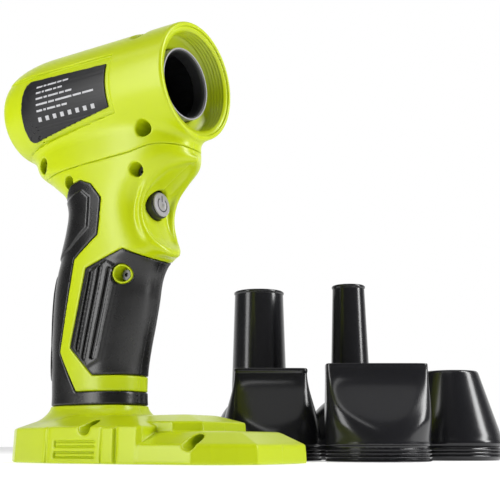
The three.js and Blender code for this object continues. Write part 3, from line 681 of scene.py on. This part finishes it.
def head_shell(side):
    """Barrel and the saddle under it, one half."""
    low_y, high_y = (-BARREL_RADIUS - 1.5, 1.5) if side < 0 else (-1.5, BARREL_RADIUS + 1.5)
    top = AXIS_Z + BARREL_RADIUS + 1.5
    grid = Grid((BARREL_REAR - 1.5, low_y, 147), (BARREL_FRONT + 1.5, high_y, top), STEP)
    barrel = barrel_field(grid)
    neck = np.maximum(handle_field(grid), grid.z - 176)
    neck = overlap(neck, grid.x - BARREL_FRONT + 1.2, 1.0)
    outside = join(barrel, neck, 5.0)
    inside = join(barrel_field(grid, WALL), np.maximum(handle_field(grid, WALL + 0.8), grid.z - 170))
    shell = cut(outside, cut(inside, screw_bosses(grid, HEAD_SCREWS)))
    r = np.sqrt(grid.y ** 2 + (grid.z - AXIS_Z) ** 2)
    shell = cut(shell, r - 20.3 + 0 * grid.x, 0.8)
    recess = outline_xz(grid, [(-9, 174.5), (-9, 205), (-110, 207), (-110, 160), (-86, 165.5)])
    depth = LABEL_RECESS * np.clip((grid.x - BARREL_REAR) / 16, 0, 1)
    panel = overlap(overlap(recess, -barrel - depth, 0.2), r - BARREL_RADIUS - 5)
    shell = cut(shell, panel, 0.35)
    if side < 0:
        shell = screw_cut(grid, shell, HEAD_SCREWS)
    shell = overlap(shell, -seam_field(grid) + SEAM_GAP, 0.5)
    shell = overlap(shell, -side * grid.y - HALF_OVERLAP)
    name = "head_shell_right" if side < 0 else "head_shell_left"
    field_object(name + "_skin", grid, shell, LIME, "tool", [name])


GRIP_SLITS = [((-27.5, 94.5), (-35.2, 56)), ((-21.6, 96.5), (-31, 51.5)), ((-16.2, 95), (-25.6, 51.5))]


def grip_slits(grid):
    """Three long slits of the side panel, leaning with the handle."""
    field = None
    for top, bottom in GRIP_SLITS:
        a, b = np.array(top), np.array(bottom)
        e = b - a
        t = np.clip(((grid.x - a[0]) * e[0] + (grid.z - a[1]) * e[1]) / e.dot(e), 0, 1)
        slit = np.sqrt((grid.x - a[0] - t * e[0]) ** 2 + (grid.z - a[1] - t * e[1]) ** 2) - 1.15
        field = slit if field is None else np.minimum(field, slit)
    return field


def raised_by(shape):
    """Height of a panel that stands out of the rubber inside an outline, with a soft step round it."""
    return PANEL_RISE * (1 / (1 + np.exp(np.clip(shape / 0.18, -30, 30))))


FRONT_PANEL = [(-29.5, 94.6), (-17.6, 99.8), (-11, 95), (-21.4, 50.2), (-28.4, 46.4), (-38, 57.6)]
REAR_PANEL = [(-60, 135), (-48, 135.5), (-35, 138.5), (-29.6, 134), (-31, 118.5), (-44, 109.5), (-60, 104)]
HEEL_PANEL = [(-80, 97), (-60, 97), (-61.5, 60), (-58.5, 48), (-60.5, 41), (-80, 41)]


def front_grip(side):
    """Rubber panel on one side of the handle's front, with its three slits."""
    low_y, high_y = (-20, 1.5) if side < 0 else (-1.5, 20)
    grid = Grid((-44, low_y, 40), (14, high_y, 107), STEP * 0.8)
    handle = handle_field(grid)
    skin = handle - 0.1 - raised_by(outline_xz(grid, FRONT_PANEL))
    layer = overlap(skin, -handle - GRIP_DEPTH, 0.2)
    pad = overlap(layer, outline_xz(grid, FRONT_GRIP), 0.7)
    pad = cut(pad, np.maximum(grip_slits(grid), -handle - 0.7), 0.25)
    if side < 0:
        pad = cut(pad, screw_distance(grid, "screw_handle") - HANDLE_BOSS_RADIUS - 0.3, 0.2)
    pad = overlap(pad, -side * grid.y - HALF_OVERLAP)
    name = "front_grip_right" if side < 0 else "front_grip_left"
    field_object(name + "_pad", grid, pad, RUBBER, "tool", [name])


def rear_grip(side):
    """Rubber pad on one side of the handle's back, with the band round its bottom."""
    low_y, high_y = (-22, 1.5) if side < 0 else (-1.5, 22)
    grid = Grid((-72, low_y, 26), (0, high_y, 146), STEP * 0.8)
    handle = handle_field(grid)
    skin = handle - 0.15 - raised_by(outline_xz(grid, REAR_PANEL)) - raised_by(outline_xz(grid, HEEL_PANEL))
    layer = overlap(skin, -handle - GRIP_DEPTH, 0.2)
    pad = overlap(layer, outline_xz(grid, REAR_GRIP), 0.7)
    pad = overlap(pad, -side * grid.y - HALF_OVERLAP)
    name = "rear_grip_right" if side < 0 else "rear_grip_left"
    field_object(name + "_pad", grid, pad, RUBBER, "tool", [name])


# ---- Turned pieces ---------------------------------------------------------------------------------


def turned(name, profile, material, body, replaces, place, segments=96, closed=True):
    """A solid of revolution from [along, radius] points. place maps local points to millimetres."""
    angles = np.linspace(0, 2 * math.pi, segments, endpoint=False)
    ring = np.stack([np.zeros(segments), np.cos(angles), np.sin(angles)], axis=1)
    points = [ring * (0, radius, radius) + (along, 0, 0) for along, radius in profile]
    faces = []
    count = len(profile)
    last = count if closed else count - 1
    for i in range(last):
        j = (i + 1) % count
        for k in range(segments):
            m = (k + 1) % segments
            faces.append((i * segments + k, i * segments + m, j * segments + m, j * segments + k))
    return mesh_object(name, place(np.concatenate(points)), faces, material, body, replaces)


def corner_curve(before, here, after, radius, count):
    """Points of a small curve in place of a corner."""
    before, here, after = (np.array(point, dtype=float) for point in (before, here, after))
    to_before, to_after = before - here, after - here
    reach = min(radius, 0.45 * np.linalg.norm(to_before), 0.45 * np.linalg.norm(to_after))
    start = here + to_before / np.linalg.norm(to_before) * reach
    end = here + to_after / np.linalg.norm(to_after) * reach
    steps = np.linspace(0, 1, count)
    return [tuple((1 - t) ** 2 * start + 2 * t * (1 - t) * here + t * t * end) for t in steps]


def rounded_profile(points, radius=0.4):
    """Rounds every corner of a closed profile."""
    result = []
    for i, here in enumerate(points):
        result += corner_curve(points[i - 1], here, points[(i + 1) % len(points)], radius, 4)
    return result


def about_barrel(points):
    return points + (0, 0, AXIS_Z)


def mouth():
    """Thread ridges and the funnel floor of the mouth."""
    crest, root, pitch, turns = 26.1, 28.1, 1.9, 5
    outer = MOUTH_HIGH[2] - AXIS_Z + 0.4  # bedded into the shell, so that no gap shows round the rim
    front, back = MOUTH_HIGH[0], MOUTH_LOW[0]
    profile = [(front, outer - 0.1)]
    for i in range(turns):
        x = front - 0.6 - i * pitch
        profile += [(x + 0.3, root), (x - 0.35, crest), (x - 0.75, crest), (x - 1.3, root)]
    floor = RING_HIGH[0] - 5.6
    for t in np.linspace(0, 1, 9):
        angle = t * math.pi / 2
        profile.append((floor + 3.2 * (1 - math.sin(angle)), 19.6 + 7.6 * math.cos(angle)))
    profile += [(back, 19.6), (back, 22), (back + 1.8, 27), (back + 2.6, outer - 0.1)]
    turned("mouth_thread", profile[::-1], LIME, "tool", ["mouth_ring"], about_barrel, 128)


def outlet():
    """Grey ring of the air outlet, with a black lip inside it."""
    back, front = RING_LOW[0], RING_HIGH[0]
    ring = rounded_profile([(front, 18.1), (front, 19), (back, 19), (back, 18.1)], 0.3)
    flare = [(front - 2.4, 17), (front - 0.9, 17.5), (front - 0.7, 18)]
    lip = rounded_profile([*flare, (back, 18), (back, 17)], 0.3)
    turned("outlet_lip", lip, SATIN, "tool", (), about_barrel, 96)
    turned("outlet_ring_grey", ring, RING_GREY, "tool", ["outlet_ring"], about_barrel, 96)


# ---- Nozzles ---------------------------------------------------------------------------------------

NOZZLE_TURN = math.radians(33)
NOZZLE_WALL = 2.0
RING_PROFILE = [(0, 25.6), (0.5, 26.4)]
for start in (1.3, 1.3 + 1.9, 1.3 + 1.9 * 2):
    RING_PROFILE += [(start, 27.0), (start + 0.6, 28.3), (start + 1.2, 28.3), (start + 1.8, 27.0)]
RING_PROFILE += [(7.4, 27.0), (7.9, 27.6)]


def nozzle_place(name):
    """Where a nozzle's axis meets the floor, from its CAD box."""
    low, high = cad_box(name)
    return (low[0] + high[0]) / 2, (low[1] + high[1]) / 2


def upright(name):
    """Turns along-axis points into upright ones at a nozzle's place."""
    x, y = nozzle_place(name)
    return lambda points: np.stack([points[:, 1] + x, points[:, 2] + y, points[:, 0]], axis=1)


def turned_nozzle(name, outline, part):
    """A round nozzle from its outside as [height, radius] points."""
    top, mouth_radius = outline[-1]
    inner = [(h, r - NOZZLE_WALL) for h, r in reversed(outline) if h > 9]
    lip = [(top - 0.5, mouth_radius), (top, mouth_radius - 0.5), (top, mouth_radius - NOZZLE_WALL + 0.4)]
    profile = RING_PROFILE + outline[:-1] + lip + inner[1:] + [(9, 23.4), (0, 23.4)]
    turned(part, profile, GLOSS, name + "_body", [name], upright(name), 128)


def bulb(radius, neck, low, high, steps=18):
    """Round shoulder from its widest place up to the tube."""
    last = math.pi - math.asin(neck / radius)
    points = []
    for i in range(steps + 1):
        angle = math.pi / 2 + (last - math.pi / 2) * i / steps
        points.append((low + (high - low) * math.cos(angle) / math.cos(last), radius * math.sin(angle)))
    return points


def fillet_outline(points, radius):
    """Rounds the inner corners of an open outline."""
    result = [points[0]]
    for before, here, after in zip(points, points[1:], points[2:]):
        result += corner_curve(before, here, after, radius, 6)
    return result + [points[-1]]


def blend_field(grid, place, low, high, radius, half_length, half_width, inset):
    """A tube that starts round and ends as a rounded rectangle, turned with the nozzle."""
    x, y = place
    dx, dy = grid.x - x, grid.y - y
    along = np.abs(dx * math.cos(NOZZLE_TURN) + dy * math.sin(NOZZLE_TURN))
    across = np.abs(-dx * math.sin(NOZZLE_TURN) + dy * math.cos(NOZZLE_TURN))
    t = np.clip((grid.z - low) / (high - low) / 0.95, 0, 1)
    t = t * t * (3 - 2 * t)
    a = radius + (half_length - radius) * t - inset
    b = radius + (half_width - radius) * t - inset
    n = 2 + 5 * t
    power = ((along / a) ** n + (across / b) ** n + 1e-9) ** (1 / n)
    return grid.even((power - 1) * np.minimum(a, b))


def nozzle_grid(name, step):
    """Grid round a nozzle's CAD box."""
    low, high = cad_box(name)
    return Grid(low - 1.2, high + 1.2, step)


def ring_field(grid, place):
    """Threaded ring at the bottom of a nozzle."""
    r = np.sqrt((grid.x - place[0]) ** 2 + (grid.y - place[1]) ** 2)
    crest = 27.7 + 0.75 * np.cos((grid.z - 2.2) * 2 * math.pi / 1.9)
    edge = np.where(grid.z < 7.2, crest, 27.2)
    return r, overlap(overlap(r - edge, grid.z - 9.6, 0.4), -grid.z, 0.6)


def flat_nozzle(name):
    """Round below, a long rectangular mouth above."""
    grid = nozzle_grid(name, STEP * 0.8)
    place = nozzle_place(name)
    r, ring = ring_field(grid, place)
    body = blend_field(grid, place, 9, 51, 28.2, 20.5, 7, 0)
    skirt = overlap(overlap(body, grid.z - 51, 0.6), 8.2 - grid.z, 0.5)
    outside = join(ring, skirt, 0.5)
    lip = overlap(np.abs(body + 0.2) - 0.55, np.abs(grid.z - 49.6) - 0.9, 0.4)
    outside = join(outside, lip, 0.4)
    mouth_hollow = blend_field(grid, place, 9, 51, 28.2, 20.5, 7, NOZZLE_WALL)
    hollow = join(mouth_hollow, np.maximum(r - 23.4, grid.z - 9.4))
    hollow = np.maximum(hollow, -1 - grid.z)
    solid = cut(outside, hollow, 0.3)
    field_object("flat_nozzle", grid, solid, GLOSS, name + "_body", [name])


def fishtail_nozzle(name):
    """A flat box with round ends, its cone base running up into an arch-shaped slope."""
    grid = nozzle_grid(name, STEP * 0.8)
    place = nozzle_place(name)
    r, ring = ring_field(grid, place)
    body = blend_field(grid, place, 9.2, 51.5, 28, 27.4, 7.5, 0)
    upper = overlap(overlap(body, grid.z - 51.5, 0.6), 8.4 - grid.z, 0.4)
    dx, dy = grid.x - place[0], grid.y - place[1]
    across = np.abs(-dx * math.sin(NOZZLE_TURN) + dy * math.cos(NOZZLE_TURN))
    cone = overlap((r - 28 + (grid.z - 9) * 0.316) * 0.95, overlap(grid.z - 40.6, 8.4 - grid.z, 0.3), 0.4)
    cone = overlap(cone, (across - 27 + (grid.z - 13) * 0.68) * 0.83, 0.4)
    outside = join(join(ring, upper, 0.5), cone, 0.35)
    mouth_hollow = blend_field(grid, place, 9, 51.7, 28, 27.4, 7.5, NOZZLE_WALL)
    hollow = join(mouth_hollow, np.maximum(r - 23.4, grid.z - 10.4))
    hollow = np.maximum(hollow, -1 - grid.z)
    solid = cut(outside, hollow, 0.3)
    field_object("fishtail_nozzle", grid, solid, GLOSS, name + "_body", [name])


def nozzles():
    """All five nozzles."""
    shoulder = [(8.6, 28.3), (9.4, 28.5), (11, 28.2)]
    wide_tube = [(35, 17.7), (104, 15.7), (104.6, 16.2), (106, 16.2)]
    wide = fillet_outline([*bulb(27.9, 18.8, 11, 34), *wide_tube], 1.2)
    turned_nozzle("nozzle_wide_tube", [*shoulder, *wide], "wide_tube")
    narrow_tube = [(40, 12.6), (46, 11.9), (104, 9.9), (104.6, 10.4), (106, 10.4)]
    narrow = fillet_outline([*bulb(27.9, 14.4, 11, 35), *narrow_tube], 3)
    turned_nozzle("nozzle_narrow_tube", [*shoulder, *narrow], "narrow_tube")
    cone = fillet_outline([(11.4, 28), (16, 26.8), (49, 16.6), (51, 15.9)], 3)
    turned_nozzle("nozzle_cone", [*shoulder, *cone], "cone_nozzle")
    flat_nozzle("nozzle_flat")
    fishtail_nozzle("nozzle_fishtail")


# ---- Label and button ------------------------------------------------------------------------------

LABEL_OUTLINE = [
    (-12, 177.5), (-12, 200.5), (-67.5, 203), (-70.5, 201), (-72, 197), (-73.5, 186), (-73.8, 177),
    (-73.4, 171.8), (-71, 169.9),
]


def side_label(side):
    """Satin film in the barrel's recess."""
    low_y, high_y = (-BARREL_RADIUS - 1, -20) if side < 0 else (20, BARREL_RADIUS + 1)
    grid = Grid((-75, low_y, 166), (-9, high_y, 205), 0.5)
    barrel = barrel_field(grid)
    film = overlap(barrel + LABEL_RECESS - 0.7, -barrel - LABEL_RECESS + 0.05, 0.1)
    film = overlap(film, outline_xz(grid, LABEL_OUTLINE) + 0.2, 0.25)
    name = "side_label_right" if side < 0 else "side_label_left"
    field_object(name + "_film", grid, film, FILM, "tool", [name])


PRINT_ROWS = [(197.4, 24), (194.1, 20), (190.8, 27), (187.5, 42), (184.2, 23)]
PRINT_WORDS = (0.22, 0.12, 0.3, 0.16, 0.2)
PRINT_TOP, PRINT_LEFT = BARREL_RADIUS - LABEL_RECESS + 0.75, -61.0


def label_print(side):
    """Plain bars in place of printed lines, and a row of small plain squares under them."""
    bars = []
    for height, length in PRINT_ROWS:
        x = PRINT_LEFT
        for part in PRINT_WORDS:
            bars.append((x, x + part * length - 0.9, height, 1.0))
            x += part * length
    for k in range(8):
        left = PRINT_LEFT + 5.4 * k
        bars.append((left, left + 2.4, 179.8, 2.2))
    points, faces = [], []
    for x0, x1, height, tall in bars:
        start = len(points)
        for radius in (PRINT_TOP - 0.12, PRINT_TOP):
            for x in (x0, x1):
                for z in np.linspace(height - tall / 2, height + tall / 2, 4) - AXIS_Z:
                    points.append((x, side * math.sqrt(radius * radius - z * z), z + AXIS_Z))
        for ring in (0, 8):
            for k in range(3):
                a = start + ring + k
                quad = (a, a + 1, a + 5, a + 4)
                faces.append(quad if (ring == 8) == (side > 0) else quad[::-1])
        rim = [0, 1, 2, 3, 7, 6, 5, 4]
        for a, b in zip(rim, rim[1:] + rim[:1]):
            quad = (start + a, start + b, start + b + 8, start + a + 8)
            faces.append(quad[::-1] if side > 0 else quad)
    name = "label_print_right" if side < 0 else "label_print_left"
    mesh_object(name, points, faces, INK, "tool", (), smooth=False)


def on_button(points):
    """Maps [across, up, out] points on the button's face to the tool."""
    across, up, out = np.asarray(points, dtype=float).T
    x = BUTTON_X + out * math.cos(BUTTON_TILT) - up * math.sin(BUTTON_TILT)
    z = BUTTON_Z + out * math.sin(BUTTON_TILT) + up * math.cos(BUTTON_TILT)
    return np.stack([x, across, z], axis=1)


def button_turned(points):
    """Maps points of a turned piece, given along its axis first, to the button."""
    return on_button(points[:, [1, 2, 0]])


def power_button():
    """Black button with a pale cap and a generic on-off mark."""
    side = [(-5, 0.02), (-5, 8.6), (-3.8, 8.6), (-3.8, 7.1), (1.6, 7.1), (2.35, 6.75), (2.35, 0.02)]
    side = rounded_profile(side, 0.3)
    turned("button_body", side, SATIN, "button", ["power_button"], button_turned, 72)
    cap = [(2.45, 0.02), (2.45, 6.3), (2.9, 6.45), (3.25, 6.2), (3.42, 5.6), (3.5, 4.0), (3.5, 0.02)]
    turned("button_cap_face", cap, GREY, "button", ["button_cap"], button_turned, 72)
    arc = []
    for angle in np.radians(np.linspace(40, 320, 29)):
        arc.append((3.6 * math.sin(angle), 3.6 * math.cos(angle) - 0.2, 3.52))
    mark("power_ring", on_button(arc))
    mark("power_bar", on_button([(0, 1.3, 3.52), (0, 3, 3.52), (0, 4.6, 3.52)]))


def mark(name, path, radius=0.34, around=8):
    """A thin raised line along a path on the button's face."""
    path = np.asarray(path)
    tangents = np.gradient(path, axis=0)
    tangents /= np.linalg.norm(tangents, axis=1)[:, None]
    out = np.array([math.cos(BUTTON_TILT), 0, math.sin(BUTTON_TILT)])
    sideways = np.cross(tangents, out)
    points, faces = [], []
    for i in range(len(path)):
        for k in range(around):
            angle = 2 * math.pi * k / around
            points.append(path[i] + radius * (math.cos(angle) * sideways[i] + 0.5 * math.sin(angle) * out))
    for i in range(len(path) - 1):
        for k in range(around):
            m = (k + 1) % around
            faces.append((i * around + k, i * around + m, (i + 1) * around + m, (i + 1) * around + k))
    faces.append(tuple(range(around - 1, -1, -1)))
    faces.append(tuple(range(len(points) - around, len(points))))
    mesh_object(name, points, faces, SATIN, "button", ())


# ---- Camera, light and floor -----------------------------------------------------------------------

AZIMUTH = math.radians(33)
PITCH = math.radians(11.9)


def camera():
    """Low camera close to the ground, looking a little up at the tool."""
    right = Vector((math.cos(AZIMUTH), math.sin(AZIMUTH), 0))
    level = Vector((-math.sin(AZIMUTH), math.cos(AZIMUTH), 0))
    mouth_center = Vector((BARREL_FRONT * MM, 0, 0))
    place = mouth_center + right * 0.027 - level * 0.4519
    place.z = 0.008
    forward = level * math.cos(PITCH) + Vector((0, 0, 1)) * math.sin(PITCH)
    up = -level * math.sin(PITCH) + Vector((0, 0, 1)) * math.cos(PITCH)
    data = bpy.data.cameras.new("camera")
    data.sensor_width = 36
    data.lens = 36 * 930 / 500
    data.clip_start = 0.005
    eye = bpy.data.objects.new("camera", data)
    eye.matrix_world = Matrix((
        (right.x, up.x, -forward.x, place.x),
        (right.y, up.y, -forward.y, place.y),
        (right.z, up.z, -forward.z, place.z),
        (0, 0, 0, 1),
    ))
    bpy.context.scene.collection.objects.link(eye)
    bpy.context.scene.camera = eye
    return right, level


def area_light(name, place, target, size, power):
    """A rectangular lamp that points at a target."""
    data = bpy.data.lights.new(name, "AREA")
    data.shape = "RECTANGLE"
    data.size, data.size_y = size
    data.energy = power
    lamp = bpy.data.objects.new(name, data)
    lamp.location = place
    lamp.rotation_euler = (Vector(target) - Vector(place)).to_track_quat("-Z", "Y").to_euler()
    bpy.context.scene.collection.objects.link(lamp)


def studio(right, level):
    """Soft boxes on both sides and overhead, in front of a white backdrop."""
    middle = Vector((0, 0, 0.11))
    up = Vector((0, 0, 1))
    area_light("key", middle - right * 0.6 - level * 0.35 + up * 0.12, middle, (0.26, 0.8), 4.2)
    area_light("top", middle + up * 0.7 - level * 0.15, middle, (0.8, 0.4), 0.5)
    area_light("side", middle + right * 0.75 - level * 0.12 + up * 0.4, middle, (0.2, 0.8), 7.0)
    area_light("band", middle - right * 0.25 - level * 0.3 + up * 0.6, middle, (0.9, 0.1), 0.8)
    world = bpy.data.worlds.new("studio")
    world.use_nodes = True
    tree = world.node_tree
    background = tree.nodes["Background"]
    place = tree.nodes.new("ShaderNodeTexCoord")
    along = tree.nodes.new("ShaderNodeVectorMath")
    along.operation = "DOT_PRODUCT"
    along.inputs[1].default_value = level
    backdrop = tree.nodes.new("ShaderNodeMapRange")
    backdrop.interpolation_type = "SMOOTHSTEP"
    backdrop.inputs["From Min"].default_value = 0.3
    backdrop.inputs["From Max"].default_value = 0.82
    backdrop.inputs["To Min"].default_value = 0.1
    backdrop.inputs["To Max"].default_value = 1.0
    tree.links.new(place.outputs["Generated"], along.inputs[0])
    tree.links.new(along.outputs["Value"], backdrop.inputs["Value"])
    tree.links.new(backdrop.outputs["Result"], background.inputs["Strength"])
    background.inputs["Color"].default_value = (1, 1, 1, 1)
    bpy.context.scene.world = world
    bpy.context.scene.view_settings.view_transform = "Standard"


def floor():
    """Wide pale floor, a little lit from within, so that it meets the backdrop without a line."""
    pale = Material("floor_pale", (0.9, 0.9, 0.9), 0.8, Emission_Strength=0.45)
    pale.shader.inputs["Emission Color"].default_value = (1, 1, 1, 1)
    pale.vary_color(3, 0.01)
    mesh = bpy.data.meshes.new("floor")
    half, level = 6, -0.0002
    corners = [(-half, -half, level), (half, -half, level), (half, half, level), (-half, half, level)]
    mesh.from_pydata(corners, [], [(0, 1, 2, 3)])
    ground = bpy.data.objects.new("floor", mesh)
    ground.data.materials.append(pale.material)
    bpy.context.scene.collection.objects.link(ground)


# ---- Everything ------------------------------------------------------------------------------------

NODE_MATERIALS = {
    "lime_shell": LIME,
    "rubber_grip": RUBBER,
    "black_gloss": GLOSS,
    "black_plastic": SATIN,
    "grey_plastic": GREY,
    "label_film": FILM,
    "steel": STEEL,
    "aluminium": ALUMINIUM,
    "brass": BRASS,
    "circuit_board": BOARD,
    "red_wire": RED,
}


def dress_cad_nodes():
    """Gives every CAD node the material of its slot."""
    slots = {row["node"]: row["material_slot"] for row in frame["record"]["subparts"]}
    for node, piece in frame["nodes"].items():
        material = NODE_MATERIALS[slots[node]]
        piece.data.materials.clear()
        piece.data.materials.append(material)


studio(*camera())
floor()
dress_cad_nodes()
for half in (-1, 1):
    head_shell(half)
    handle_shell(half)
    front_grip(half)
    rear_grip(half)
    side_label(half)
label_print(-1)
mouth()
outlet()
power_button()
nozzles()
